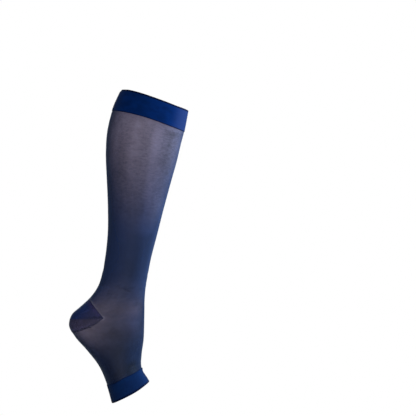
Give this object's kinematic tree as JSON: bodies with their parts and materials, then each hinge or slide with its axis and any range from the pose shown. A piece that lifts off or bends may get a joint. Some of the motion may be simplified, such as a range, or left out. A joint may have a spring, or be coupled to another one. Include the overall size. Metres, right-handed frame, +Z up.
{
  "type": "compression stocking",
  "caption": "Knee-high compression stocking with an opaque top band, sheer leg, knitted heel pocket and open toe, filled out as worn.",
  "frame": {"origin": "centre of the top opening, where the calf just below the knee holds the stocking up", "axes": "+Z up the standing leg, +X towards the toes, +Y to the stocking's left side; the stocking is symmetric about the XZ plane"},
  "size_m": [0.2055, 0.1154, 0.539],
  "materials": {
    "band_knit": "matte, opaque doubled rib knit, royal navy",
    "sheer_knit": "sheer fine plain knit with a soft sheen, navy",
    "heel_knit": "denser matte plain knit, navy"
  },
  "bodies": {
    "root": {"top_band": "band_knit", "leg_and_foot": "sheer_knit", "heel_pocket": "heel_knit", "toe_band": "band_knit"}
  },
  "joints": []
}
